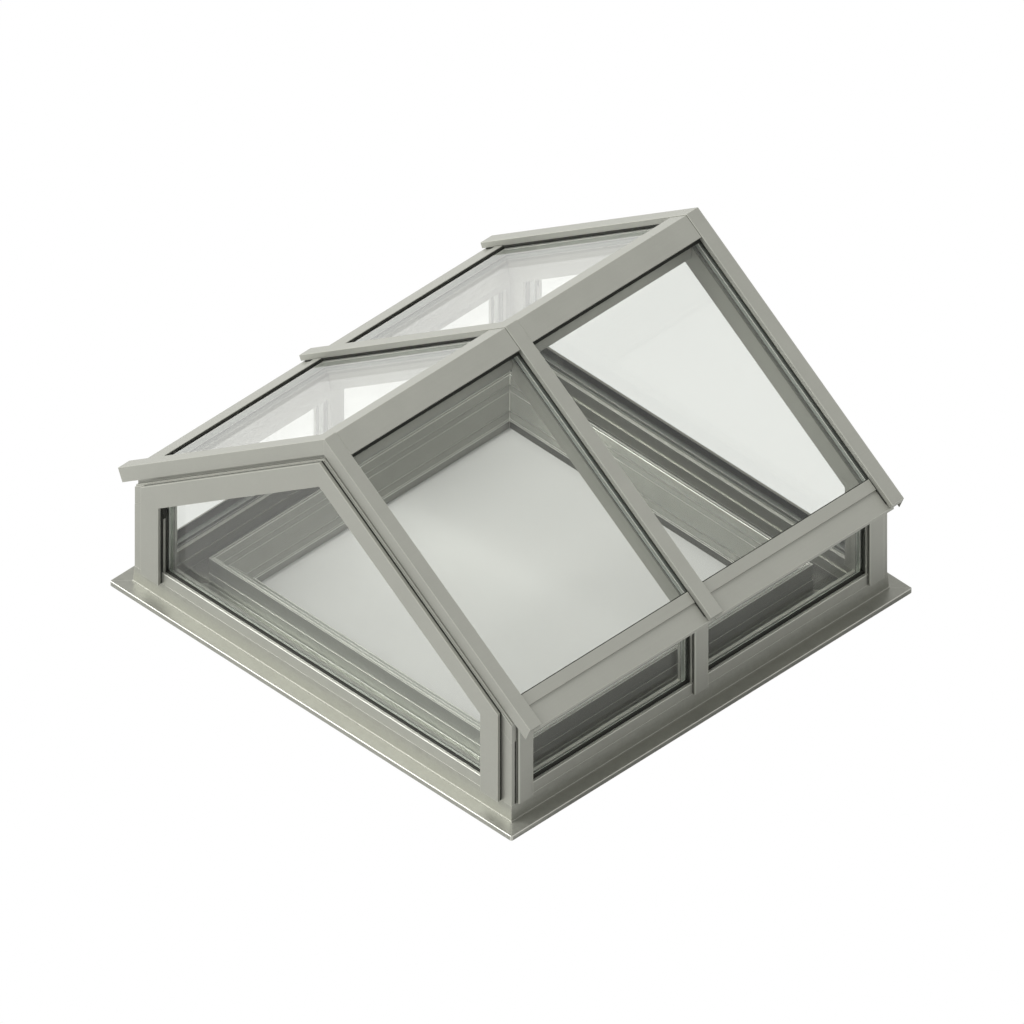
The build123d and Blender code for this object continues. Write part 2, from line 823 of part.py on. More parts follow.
# Spacer frames between the panes
with BuildPart() as spacers:
    with BuildSketch(slope_face(glass_bottom_depth - pane_thickness)):
        glass_ring(spacer_inset, spacer_width, roof_glass_outline)
    extrude(amount=cavity_thickness)
    with BuildSketch(Plane.YZ.offset(glass_face_x - glass_thickness + pane_thickness)):
        glass_ring(spacer_inset, spacer_width, side_glass_outline)
    extrude(amount=cavity_thickness)
    mirror(about=Plane.YZ)
    with BuildSketch(Plane.XZ.offset(glass_face_y - glass_thickness + pane_thickness)):
        glass_ring(spacer_inset, spacer_width, gable_glass_outline)
    extrude(amount=cavity_thickness)
    mirror(about=Plane.XZ)
save(spacers.part, "spacer_frames")

# Setting blocks under the wall units
with BuildPart() as setting_blocks:
    with BuildSketch(Plane.XY.offset(rail_height)):
        for share in (setting_block_share, 1 - setting_block_share):
            middle = side_glass_start + share * (side_glass_end - side_glass_start)
            patch(
                glass_face_x - glass_thickness,
                glass_face_x,
                -middle - setting_block_length / 2,
                -middle + setting_block_length / 2,
            )
        middle = gable_glass_half * (1 - 2 * setting_block_share)
        patch(
            middle - setting_block_length / 2,
            middle + setting_block_length / 2,
            -glass_face_y,
            -glass_face_y + glass_thickness,
        )
    extrude(amount=setting_block_height)
    mirror(about=Plane.YZ)
    mirror(about=Plane.XZ)
save(setting_blocks.part, "setting_blocks")


# Outer gaskets: black bulbs between the units and the outside metal
def sill_gasket_section():
    """Wedge between bead and glass with a sloping top."""
    Polygon(
        (glass_inset - sill_gasket_thickness, glass_bottom),
        (glass_inset, glass_bottom),
        (glass_inset, sill_gasket_top),
        (glass_inset - sill_gasket_thickness, sill_gasket_top - sill_gasket_slope),
        align=None,
    )


with BuildPart() as outer_gaskets:
    # Sill wedge and side strips of the front right bay
    with BuildSketch(wall_section(right, half_width).offset(-post_inner_y + fit_gap)):
        sill_gasket_section()
    extrude(amount=post_inner_y - mid_post_half - 2 * fit_gap)
    with BuildSketch(Plane.XY.offset(sill_gasket_top)):
        patch(glass_face_x, frame_x, -post_inner_y + fit_gap, -post_leg_y + gasket_show)
        patch(glass_face_x, frame_x, -mid_leg_half - gasket_show, -mid_post_half - fit_gap)
    extrude(amount=eave_bottom - sill_gasket_top)
    with BuildSketch(Plane.XY.offset(eave_bottom)):
        patch(glass_face_x, frame_x - eave_lip_thickness, -side_glass_end, -side_glass_start)
    extrude(amount=side_glass_top - eave_bottom)
    # Seal in the bottom of the groove beside the corner
    with BuildSketch(Plane.XY.offset(rail_height)):
        groove_bottom = frame_x - post_groove_depth
        patch(groove_bottom, groove_bottom + post_seal_thickness, -post_groove_y, -cover_corner_y)
    extrude(amount=height_at(frame_x, gable_rafter_bottom) - rail_height)
    # Strips under the caps and above the retainer of the front right roof unit
    with BuildSketch(slope_face(glass_top_depth)):
        strip_end = flashing_end - retainer_overlap
        patch(roof_glass_start, strip_end, -roof_glass_end_y, -roof_glass_start_y)
        strip_outer = -gable_cap_inner + inner_gasket_show
        strip_inner = -cap_half - inner_gasket_show
        patch(ridge_cap_width + ridge_gasket_show, strip_end, strip_outer, strip_inner, Mode.SUBTRACT)
        patch(retainer_start - retainer_lip_width, retainer_start, strip_outer, strip_inner)
    extrude(amount=roof_outer_gasket)
    mirror(about=Plane.YZ)
    # Sill wedge, stiles and rakes of the front gable
    with BuildSketch(wall_section(front, half_length)):
        sill_gasket_section()
    extrude(amount=post_inner_x - fit_gap, both=True)
    with BuildSketch(Plane.XZ.offset(glass_face_y)):
        gable_outline(post_inner_x - fit_gap, sill_gasket_top, gable_rafter_bottom + fit_gap)
        gable_outline(
            plate_inner_x - gasket_show,
            sill_gasket_top,
            rake_leg_depth + gasket_show,
            Mode.SUBTRACT,
        )
    extrude(amount=frame_y - glass_face_y)
    # Seal behind the front retainer frame
    with BuildSketch(Plane.XZ.offset(frame_y)):
        gable_outline(plate_outer_x - face_seal_inset, plate_bottom, plate_outer_depth + face_seal_inset)
        gable_outline(
            plate_inner_x + face_seal_inset,
            plate_bottom,
            rake_leg_depth - face_seal_inset,
            Mode.SUBTRACT,
        )
    extrude(amount=plate_seal_thickness)
    mirror(about=Plane.XZ)
    # Seals behind the side covers
    with BuildSketch(Plane.XY.offset(plate_bottom)):
        cover_strips(frame_x, frame_x + cover_seal_thickness, face_seal_inset)
        cover_strips(-frame_x - cover_seal_thickness, -frame_x, face_seal_inset)
    extrude(amount=cover_height)
save(outer_gaskets.part, "outer_gaskets")

# Inner gaskets: black rings between the units and the frame legs
with BuildPart() as inner_gaskets:
    with BuildSketch(slope_face(frame_depth)):
        roof_glass_outline(0, Mode.ADD)
        patch(
            run_at(ridge_half, frame_depth) + inner_gasket_show,
            run_at(eave_top_x, frame_depth) - inner_gasket_show,
            -leg_back_y + inner_gasket_show,
            -rafter_half - inner_gasket_show,
            Mode.SUBTRACT,
        )
    extrude(amount=roof_inner_gasket)
    with BuildSketch(Plane.YZ.offset(leg_face_x)):
        side_glass_outline(0, Mode.ADD)
        patch(
            -post_leg_y + inner_gasket_show,
            -mid_leg_half - inner_gasket_show,
            rail_height + glazing_leg_height + inner_gasket_show,
            eave_bottom - inner_gasket_show,
            Mode.SUBTRACT,
        )
    extrude(amount=wall_inner_gasket)
    mirror(about=Plane.YZ)
    with BuildSketch(Plane.XZ.offset(leg_face_y)):
        gable_glass_outline(0, Mode.ADD)
        gable_outline(
            post_leg_x - inner_gasket_show,
            rail_height + glazing_leg_height + inner_gasket_show,
            rake_leg_depth + inner_gasket_show,
            Mode.SUBTRACT,
        )
    extrude(amount=wall_inner_gasket)
    mirror(about=Plane.XZ)
save(inner_gaskets.part, "inner_gaskets")
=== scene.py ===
"""Roof skylight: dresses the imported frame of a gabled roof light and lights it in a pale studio."""

import math

import bmesh
import bpy
from bpy.props import FloatProperty, FloatVectorProperty, PointerProperty
from mathutils import Matrix, Vector


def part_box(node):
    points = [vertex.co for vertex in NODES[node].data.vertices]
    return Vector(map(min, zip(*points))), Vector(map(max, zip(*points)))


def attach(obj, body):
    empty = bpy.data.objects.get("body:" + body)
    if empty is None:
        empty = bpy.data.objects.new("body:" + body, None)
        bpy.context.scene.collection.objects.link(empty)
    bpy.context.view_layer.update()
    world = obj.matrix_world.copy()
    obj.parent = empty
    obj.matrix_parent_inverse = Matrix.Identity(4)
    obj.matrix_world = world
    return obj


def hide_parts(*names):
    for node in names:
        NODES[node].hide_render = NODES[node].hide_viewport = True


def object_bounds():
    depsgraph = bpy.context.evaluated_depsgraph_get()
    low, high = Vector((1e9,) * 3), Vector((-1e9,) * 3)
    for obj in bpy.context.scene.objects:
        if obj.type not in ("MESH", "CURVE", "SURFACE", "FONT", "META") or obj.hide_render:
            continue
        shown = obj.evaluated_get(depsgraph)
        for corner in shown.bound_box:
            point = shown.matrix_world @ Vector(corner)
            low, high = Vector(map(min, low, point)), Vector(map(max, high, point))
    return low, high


bl_info = {
    "name": "Roof skylight",
    "version": (1, 0, 0),
    "blender": (4, 5, 0),
    "location": "3D View > Sidebar > Skylight",
    "description": "Finishes the metal, glass and seals of a gabled roof light",
    "category": "Object",
}

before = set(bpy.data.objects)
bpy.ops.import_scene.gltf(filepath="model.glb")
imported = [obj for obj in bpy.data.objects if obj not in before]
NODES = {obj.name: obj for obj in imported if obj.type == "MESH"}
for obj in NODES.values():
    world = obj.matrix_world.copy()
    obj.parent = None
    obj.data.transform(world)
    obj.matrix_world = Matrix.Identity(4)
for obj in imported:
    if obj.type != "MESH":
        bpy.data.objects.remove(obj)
CAD_LOW, CAD_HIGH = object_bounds()

# Attribute that marks the narrow faces of rounded metal edges, which get a painted highlight
EDGE_MARK = "edge_light"
# Sharpest fold that still counts as one flat face, and the least that counts as an edge, in degrees
FLAT_ANGLE = 0.6
EDGE_ANGLE = 28.0
# How far taped seal faces are lifted off the panes, in metres, and the least share of a face's
# normal that points inwards where it presses on a pane
TAPE_LIFT = 0.0002
FACING = 0.9
# Sides of one drying hole of a spacer
HOLE_FACES = 8
# Noise frequencies of the drawing streaks on sections that run along X and along Y
ALONG_X = (3.0, 240.0, 240.0)
ALONG_Y = (240.0, 3.0, 240.0)
# The sides of the curb, each with the streaks of its sections
CURB_SIDES = {"front": ALONG_X, "rear": ALONG_X, "left": ALONG_Y, "right": ALONG_Y}
# Finish of the curb rails and of the calmer inner upstands: clouds are (scale, amount)
RAIL_FINISH = {"metallic": 0.8, "cloud": (48.0, 0.34), "grain": 0.16}
UPSTAND_FINISH = {"metallic": 0.8, "cloud": (24.0, 0.2), "grain": 0.08}
# Grain of rubber and of plastic or tape: scale, amount and depth in metres
RUBBER_GRAIN = (300.0, 0.08, 0.00003)
SMOOTH_GRAIN = (300.0, 0.06, 0.00003)


def nodes_named(*starts):
    """CAD node names that begin with one of the given words."""
    return sorted(name for name in NODES if name.startswith(starts))


# Settings


class MetalSettings(bpy.types.PropertyGroup):
    """Edges and coating of the aluminium."""

    frame_edge: FloatProperty(
        name="Frame edge",
        description="Width of the rounded edge of rails, posts and rafters",
        default=0.0012,
        unit="LENGTH",
    )
    trim_edge: FloatProperty(
        name="Trim edge",
        description="Width of the rounded edge of caps, beads and flashings",
        default=0.0008,
        unit="LENGTH",
    )
    coated_edge_share: FloatProperty(
        name="Coated edge share",
        description="Faces of posts and trim narrower than this many edge widths count as an edge",
        default=1.5,
    )
    # Width share for the painted edge highlight of the curb
    curb_edge_share: FloatProperty(
        name="Polished edge share",
        description="Faces of the curb narrower than this many edge widths count as an edge",
        default=2.4,
    )
    coat_tone: FloatVectorProperty(
        name="Coat tone",
        description="Base colour of the satin coating",
        default=(0.345, 0.347, 0.315),
        subtype="COLOR",
    )
    # Painted highlight: the marked edge faces of the upstands and spacers take this near-white tone
    bright_edge_tone: FloatVectorProperty(
        name="Bright edge tone",
        description="Colour of the polished edges of upstands and spacers",
        default=(0.88, 0.88, 0.84),
        subtype="COLOR",
    )
    upstand_edge: FloatProperty(
        name="Upstand edge",
        description="Width of the rounded edge of the inner upstands",
        default=0.0008,
        unit="LENGTH",
    )
    # Painted highlight: the marked edge faces of the curb rails take this lighter tone
    rail_edge_tone: FloatVectorProperty(
        name="Rail edge tone",
        description="Colour of the worn edges of the curb rails",
        default=(0.58, 0.58, 0.54),
        subtype="COLOR",
    )
    # Painted highlight: the marked edge faces of the sill beads take this lighter tone
    bead_edge_tone: FloatVectorProperty(
        name="Bead edge tone",
        description="Colour of the rounded edges of the sill beads",
        default=(0.52, 0.52, 0.48),
        subtype="COLOR",
    )
    # Painted light: the front upstand's lighter tone stands in for the key light falling on it
    front_painted_light_tone: FloatVectorProperty(
        name="Front tone",
        description="Base colour of the front upstand, which is seen from behind",
        default=(0.43, 0.44, 0.405),
        subtype="COLOR",
    )
    upstand_tone: FloatVectorProperty(
        name="Upstand tone",
        description="Base colour of the upstands on the left and right",
        default=(0.27, 0.274, 0.245),
        subtype="COLOR",
    )
    # Painted shade: the rear upstand's dark tone stands in for shade, although it faces the key light
    rear_painted_shade_tone: FloatVectorProperty(
        name="Shaded tone",
        description="Base colour of the rear upstand, which faces the key light",
        default=(0.105, 0.107, 0.096),
        subtype="COLOR",
    )
    # Painted highlight: the marked edge faces of posts, rafters, plates, covers and caps take this
    # lighter tone
    soft_edge_tone: FloatVectorProperty(
        name="Soft edge tone",
        description="Colour of the coated edges of plates, covers and caps",
        default=(0.44, 0.445, 0.40),
        subtype="COLOR",
    )
    coat_roughness: FloatProperty(
        name="Coat roughness",
        description="Mean roughness of the satin coating",
        default=0.42,
        min=0.0,
        max=1.0,
    )


class GlassSettings(bpy.types.PropertyGroup):
    """Panes, spacers and seals."""

    glass_tone: FloatVectorProperty(
        name="Glass tone",
        description="Light that one face of a pane lets through",
        default=(0.984, 0.987, 0.981),
        subtype="COLOR",
    )
    spacer_tone: FloatVectorProperty(
        name="Spacer tone",
        description="Colour of the metal spacer between the panes",
        default=(0.36, 0.385, 0.355),
        subtype="COLOR",
    )
    seal_tone: FloatVectorProperty(
        name="Seal tone",
        description="Colour of the outer rubber seals",
        default=(0.016, 0.017, 0.013),
        subtype="COLOR",
    )
    inner_seal_tone: FloatVectorProperty(
        name="Inner seal tone",
        description="Colour of the inner seals, which are seen through the panes",
        default=(0.12, 0.125, 0.11),
        subtype="COLOR",
    )
    # Painted light: the near-white tape tone stands in for light that reaches the tape through the
    # panes
    tape_painted_light_tone: FloatVectorProperty(
        name="Tape tone",
        description="Colour of the glazing tape behind the sill wedges",
        default=(0.86, 0.88, 0.85),
        subtype="COLOR",
    )
    hole_tone: FloatVectorProperty(
        name="Hole tone",
        description="Colour of the drying holes, as they look from a few steps away",
        default=(0.34, 0.355, 0.32),
        subtype="COLOR",
    )
    hole_pitch: FloatProperty(
        name="Hole pitch",
        description="Distance between the drying holes of a spacer",
        default=0.012,
        unit="LENGTH",
    )
    hole_length: FloatProperty(
        name="Hole length",
        description="Length of one drying hole",
        default=0.003,
        unit="LENGTH",
    )
    hole_width: FloatProperty(
        name="Hole width",
        description="Width of one drying hole",
        default=0.0009,
        unit="LENGTH",
    )
    lip_depth: FloatProperty(
        name="Lip depth",
        description="Depth of the metal lips beside the seals",
        default=0.008,
        unit="LENGTH",
    )
    lip_sheet: FloatProperty(
        name="Lip sheet",
        description="Thickness of the metal lips",
        default=0.001,
        unit="LENGTH",
    )
    mid_jamb: FloatProperty(
        name="Mid jamb",
        description="Distance from the mid plane to the seal beside the mid post",
        default=0.031,
        unit="LENGTH",
    )
    corner_jamb: FloatProperty(
        name="Corner jamb",
        description="Distance from the mid plane to the outer seal of a side unit",
        default=0.654,
        unit="LENGTH",
    )
    gable_jamb: FloatProperty(
        name="Gable jamb",
        description="Distance from the ridge plane to the outer seal of a gable unit",
        default=0.634,
        unit="LENGTH",
    )
    side_sill_lip: FloatProperty(
        name="Side sill lip",
        description="Height of the seal's feathered edge above the side beads",
        default=0.0105,
        unit="LENGTH",
    )
    gable_sill_lip: FloatProperty(
        name="Gable sill lip",
        description="Height of the seal's feathered edge above the gable beads",
        default=0.0065,
        unit="LENGTH",
    )
    sill_lip_skin: FloatProperty(
        name="Sill lip skin",
        description="Thickness of the seal's feathered edge",
        default=0.0015,
        unit="LENGTH",
    )
    spacer_reach: FloatProperty(
        name="Spacer reach",
        description="Distance from a pane's edge to the inner face of its spacer",
        default=0.020,
        unit="LENGTH",
    )


class StageSettings(bpy.types.PropertyGroup):
    """Floor, lights and camera."""

    azimuth: FloatProperty(
        name="Azimuth",
        description="Direction of the camera round the skylight",
        default=math.radians(45.38),
        subtype="ANGLE",
    )
    elevation: FloatProperty(
        name="Elevation",
        description="Height of the camera above the horizon",
        default=math.radians(39.01),
        subtype="ANGLE",
    )
    view_width: FloatProperty(
        name="View width",
        description="Width of the picture at the skylight",
        default=2.8513,
        unit="LENGTH",
    )
    view_right: FloatProperty(
        name="View right",
        description="How far the picture's middle lies right of the origin",
        default=0.00287,
        unit="LENGTH",
    )
    view_up: FloatProperty(
        name="View up",
        description="How far the picture's middle lies above the origin",
        default=0.21354,
        unit="LENGTH",
    )
    camera_distance: FloatProperty(
        name="Camera distance",
        description="Distance from the camera to the skylight",
        default=8.0,
        unit="LENGTH",
    )
    floor_size: FloatProperty(
        name="Floor size",
        description="Side of the square floor",
        default=60.0,
        unit="LENGTH",
    )
    room_margin: FloatProperty(
        name="Room margin",
        description="Distance from the flange's outer edge to the floor inside the curb",
        default=0.10,
        unit="LENGTH",
    )
    light_tone: FloatVectorProperty(
        name="Light tone",
        description="Colour of the studio light",
        default=(1.0, 1.0, 0.975),
        subtype="COLOR",
    )
    near_ground: FloatProperty(
        name="Near ground",
        description="Share of light that the floor in front and on the right throws back",
        default=0.58,
    )
    far_ground: FloatProperty(
        name="Far ground",
        description="Share of light that the floor behind and on the left throws back",
        default=0.74,
    )
    room_tone: FloatProperty(
        name="Room tone",
        description="Light that the floor inside the curb throws back",
        default=0.56,
    )
    sky_strength: FloatProperty(
        name="Sky strength",
        description="Brightness of the even light all round",
        default=0.75,
    )
    sun_strength: FloatProperty(
        name="Key strength",
        description="Brightness of the broad key light from the front left",
        default=3.4,
    )
    sun_direction: FloatVectorProperty(
        name="Key direction",
        description="Direction in which the key light shines",
        default=(0.40, 0.46, -0.80),
        subtype="XYZ",
    )
    sun_spread: FloatProperty(
        name="Key spread",
        description="Apparent size of the key light",
        default=math.radians(42.0),
        subtype="ANGLE",
    )


# Shader building blocks


def link(tree, source, target):
    """Join an output socket to an input socket."""
    tree.links.new(source, target)


def new_material(name):
    """Empty node material with its output node."""
    material = bpy.data.materials.new(name)
    material.use_nodes = True
    material.node_tree.nodes.clear()
    output = material.node_tree.nodes.new("ShaderNodeOutputMaterial")
    return material, material.node_tree, output


def add_node(tree, kind, **values):
    """New node with some of its properties set."""
    node = tree.nodes.new(kind)
    for key, value in values.items():
        setattr(node, key, value)
    return node


def group_socket(tree, name, direction, kind, default=None):
    """Named socket on a node group."""
    socket = tree.interface.new_socket(name=name, in_out=direction, socket_type=kind)
    if default is not None:
        socket.default_value = default
    return socket


def swing(tree, noise, amount):
    """Noise turned into a value that swings round nought by a given amount."""
    shift = add_node(tree, "ShaderNodeMath", operation="SUBTRACT")
    shift.inputs[1].default_value = 0.5
    part = add_node(tree, "ShaderNodeMath", operation="MULTIPLY")
    link(tree, noise.outputs["Fac"], shift.inputs[0])
    link(tree, shift.outputs[0], part.inputs[0])
    link(tree, amount, part.inputs[1])
    return part.outputs[0]


def added(tree, first, second):
    """Sum of two values, each a socket or a number."""
    total = add_node(tree, "ShaderNodeMath", operation="ADD")
    for entry, value in zip(total.inputs, (first, second)):
        if isinstance(value, float):
            entry.default_value = value
        else:
            link(tree, value, entry)
    return total.outputs[0]


def satin_coat_group():
    """Satin coating: cloudy tone, drawing streaks, fine grain and a painted highlight on rounded
    edges.
    """
    name = "satin coat"
    if name in bpy.data.node_groups:
        return bpy.data.node_groups[name]
    tree = bpy.data.node_groups.new(name, "ShaderNodeTree")
    group_socket(tree, "Tone", "INPUT", "NodeSocketColor", (0.345, 0.347, 0.315, 1.0))
    group_socket(tree, "Edge Tone", "INPUT", "NodeSocketColor", (0.44, 0.445, 0.40, 1.0))
    group_socket(tree, "Cloud Scale", "INPUT", "NodeSocketFloat", 9.0)
    group_socket(tree, "Cloud Amount", "INPUT", "NodeSocketFloat", 0.12)
    group_socket(tree, "Grain Scale", "INPUT", "NodeSocketFloat", 190.0)
    group_socket(tree, "Grain Amount", "INPUT", "NodeSocketFloat", 0.05)
    group_socket(tree, "Streak Size", "INPUT", "NodeSocketVector", ALONG_Y)
    group_socket(tree, "Streak Amount", "INPUT", "NodeSocketFloat", 0.05)
    group_socket(tree, "Roughness", "INPUT", "NodeSocketFloat", 0.42)
    group_socket(tree, "Color", "OUTPUT", "NodeSocketColor")
    group_socket(tree, "Roughness", "OUTPUT", "NodeSocketFloat")
    group_socket(tree, "Height", "OUTPUT", "NodeSocketFloat")
    given = add_node(tree, "NodeGroupInput")
    made = add_node(tree, "NodeGroupOutput")
    place = add_node(tree, "ShaderNodeTexCoord")

    cloud = add_node(tree, "ShaderNodeTexNoise")
    cloud.inputs["Detail"].default_value = 5.0
    cloud.inputs["Roughness"].default_value = 0.62
    link(tree, place.outputs["Object"], cloud.inputs["Vector"])
    link(tree, given.outputs["Cloud Scale"], cloud.inputs["Scale"])

    grain = add_node(tree, "ShaderNodeTexNoise")
    grain.inputs["Detail"].default_value = 2.0
    link(tree, place.outputs["Object"], grain.inputs["Vector"])
    link(tree, given.outputs["Grain Scale"], grain.inputs["Scale"])

    stretch = add_node(tree, "ShaderNodeVectorMath", operation="MULTIPLY")
    link(tree, place.outputs["Object"], stretch.inputs[0])
    link(tree, given.outputs["Streak Size"], stretch.inputs[1])
    streak = add_node(tree, "ShaderNodeTexNoise")
    streak.inputs["Scale"].default_value = 1.0
    streak.inputs["Detail"].default_value = 3.0
    link(tree, stretch.outputs["Vector"], streak.inputs["Vector"])

    cloud_part = swing(tree, cloud, given.outputs["Cloud Amount"])
    grain_part = swing(tree, grain, given.outputs["Grain Amount"])
    streak_part = swing(tree, streak, given.outputs["Streak Amount"])
    unevenness = added(tree, cloud_part, added(tree, streak_part, grain_part))
    brightness = added(tree, unevenness, 1.0)
    toned = add_node(tree, "ShaderNodeVectorMath", operation="SCALE")
    link(tree, given.outputs["Tone"], toned.inputs[0])
    link(tree, brightness, toned.inputs["Scale"])

    # Painted highlight: the marked edge faces take the lighter edge tone
    mark = add_node(tree, "ShaderNodeAttribute", attribute_name=EDGE_MARK)
    mixed = add_node(tree, "ShaderNodeMix", data_type="RGBA")
    link(tree, mark.outputs["Fac"], mixed.inputs["Factor"])
    link(tree, toned.outputs["Vector"], mixed.inputs["A"])
    link(tree, given.outputs["Edge Tone"], mixed.inputs["B"])
    link(tree, mixed.outputs["Result"], made.inputs["Color"])

    rough = added(tree, given.outputs["Roughness"], cloud_part)
    link(tree, rough, made.inputs["Roughness"])
    link(tree, grain.outputs["Fac"], made.inputs["Height"])
    return tree


def coated_metal(
    name, tone, edge_tone, metallic=0.55, cloud=(9.0, 0.12), grain=0.05, streak=ALONG_Y
):
    """Satin coated aluminium, with its clouds as (scale, amount) and its streaks along one axis."""
    settings = bpy.context.scene.skylight_metal
    material, tree, output = new_material(name)
    coat = add_node(tree, "ShaderNodeGroup", node_tree=satin_coat_group())
    coat.inputs["Tone"].default_value = (*tone, 1.0)
    coat.inputs["Edge Tone"].default_value = (*edge_tone, 1.0)
    coat.inputs["Cloud Scale"].default_value = cloud[0]
    coat.inputs["Cloud Amount"].default_value = cloud[1]
    coat.inputs["Grain Amount"].default_value = grain
    coat.inputs["Streak Size"].default_value = streak
    coat.inputs["Roughness"].default_value = settings.coat_roughness
    shader = add_node(tree, "ShaderNodeBsdfPrincipled")
    shader.inputs["Metallic"].default_value = metallic
    bump = add_node(tree, "ShaderNodeBump")
    bump.inputs["Strength"].default_value = 0.05
    bump.inputs["Distance"].default_value = 0.0002
    link(tree, coat.outputs["Color"], shader.inputs["Base Color"])
    link(tree, coat.outputs["Roughness"], shader.inputs["Roughness"])
    link(tree, coat.outputs["Height"], bump.inputs["Height"])
    link(tree, bump.outputs["Normal"], shader.inputs["Normal"])
    link(tree, shader.outputs["BSDF"], output.inputs["Surface"])
    return material


def pane_glass():
    """Clear pane: straight-through light with a mirror sheen that grows at a glancing angle."""
    settings = bpy.context.scene.skylight_glass
    material, tree, output = new_material("pane glass")
    clear = add_node(tree, "ShaderNodeBsdfTransparent")
    clear.inputs["Color"].default_value = (*settings.glass_tone, 1.0)
    sheen = add_node(tree, "ShaderNodeBsdfGlossy")
    sheen.inputs["Color"].default_value = (1.0, 1.0, 1.0, 1.0)
    sheen.inputs["Roughness"].default_value = 0.03
    fresnel = add_node(tree, "ShaderNodeFresnel")
    fresnel.inputs["IOR"].default_value = 1.5
    side = add_node(tree, "ShaderNodeNewGeometry")
    outside = add_node(tree, "ShaderNodeMath", operation="SUBTRACT")
    outside.inputs[0].default_value = 1.0
    factor = add_node(tree, "ShaderNodeMath", operation="MULTIPLY")
    mix = add_node(tree, "ShaderNodeMixShader")
    link(tree, side.outputs["Backfacing"], outside.inputs[1])
    link(tree, fresnel.outputs["Fac"], factor.inputs[0])
    link(tree, outside.outputs[0], factor.inputs[1])
    link(tree, factor.outputs[0], mix.inputs[0])
    link(tree, clear.outputs["BSDF"], mix.inputs[1])
    link(tree, sheen.outputs["BSDF"], mix.inputs[2])
    link(tree, mix.outputs["Shader"], output.inputs["Surface"])
    return material


def grained(name, tone, roughness, grain_size, metallic=0.0):
    """Rubber or plastic with a fine grain, given as (scale, amount, depth)."""
    scale, amount, depth = grain_size
    material, tree, output = new_material(name)
    place = add_node(tree, "ShaderNodeTexCoord")
    grain = add_node(tree, "ShaderNodeTexNoise")
    grain.inputs["Scale"].default_value = scale
    grain.inputs["Detail"].default_value = 4.0
    spread = add_node(tree, "ShaderNodeMapRange")
    spread.inputs["To Min"].default_value = roughness - amount
    spread.inputs["To Max"].default_value = roughness + amount
    shade = add_node(tree, "ShaderNodeMapRange")
    shade.inputs["To Min"].default_value = 1.0 - amount
    shade.inputs["To Max"].default_value = 1.0 + amount
    toned = add_node(tree, "ShaderNodeVectorMath", operation="SCALE")
    toned.inputs[0].default_value = tone
    bump = add_node(tree, "ShaderNodeBump")
    bump.inputs["Strength"].default_value = 0.2
    bump.inputs["Distance"].default_value = depth
    shader = add_node(tree, "ShaderNodeBsdfPrincipled")
    shader.inputs["Metallic"].default_value = metallic
    link(tree, place.outputs["Object"], grain.inputs["Vector"])
    link(tree, grain.outputs["Fac"], spread.inputs["Value"])
    link(tree, grain.outputs["Fac"], shade.inputs["Value"])
    link(tree, grain.outputs["Fac"], bump.inputs["Height"])
    link(tree, shade.outputs["Result"], toned.inputs["Scale"])
    link(tree, toned.outputs["Vector"], shader.inputs["Base Color"])
    link(tree, spread.outputs["Result"], shader.inputs["Roughness"])
    link(tree, bump.outputs["Normal"], shader.inputs["Normal"])
    link(tree, shader.outputs["BSDF"], output.inputs["Surface"])
    return material


# Mesh building blocks


def face_width(face):
    """Rough width of a face: its area over half of its outline."""
    return 2.0 * face.calc_area() / max(face.calc_perimeter(), 1e-9)


def rounded_copy(name, width, share):
    """Copy of a CAD node with merged faces and small rounded edges, its outer edges marked for a
    painted highlight.
    """
    mesh = NODES[name].data.copy()
    bm = bmesh.new()
    bm.from_mesh(mesh)
    bmesh.ops.remove_doubles(bm, verts=bm.verts, dist=1e-6)
    bmesh.ops.dissolve_limit(
        bm,
        angle_limit=math.radians(FLAT_ANGLE),
        verts=bm.verts,
        edges=bm.edges,
        delimit=set(),
    )
    bmesh.ops.recalc_face_normals(bm, faces=bm.faces)
    sharp = [
        edge
        for edge in bm.edges
        if len(edge.link_faces) == 2 and edge.calc_face_angle(0.0) > math.radians(EDGE_ANGLE)
    ]
    bmesh.ops.bevel(
        bm,
        geom=sharp,
        offset=width,
        offset_type="OFFSET",
        segments=2,
        profile=0.5,
        affect="EDGES",
        clamp_overlap=True,
    )
    mark = bm.faces.layers.float.new(EDGE_MARK)
    for face in bm.faces:
        face.smooth = False
        longest = max(face.edges, key=lambda edge: edge.calc_length())
        # Narrow faces on convex edges are marked for a painted highlight
        highlighted = face_width(face) < share * width and longest.is_convex
        face[mark] = 1.0 if highlighted else 0.0
    bmesh.ops.triangulate(bm, faces=bm.faces)
    bm.to_mesh(mesh)
    bm.free()
    mesh.materials.clear()
    return mesh


def dress(name, width, material, share=None):
    """Put a rounded, coated piece in the place of a CAD node."""
    share = share or bpy.context.scene.skylight_metal.coated_edge_share
    piece = bpy.data.objects.new(f"{name}.finished", rounded_copy(name, width, share))
    bpy.context.scene.collection.objects.link(piece)
    piece.data.materials.append(material)
    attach(piece, "root")
    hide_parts(name)
    return piece


def paint(name, material):
    """Give a CAD node that keeps its shape a finished material."""
    node = NODES[name]
    if not node.data.materials:
        node.data.materials.append(material)
    for index in range(len(node.material_slots)):
        node.material_slots[index].material = material


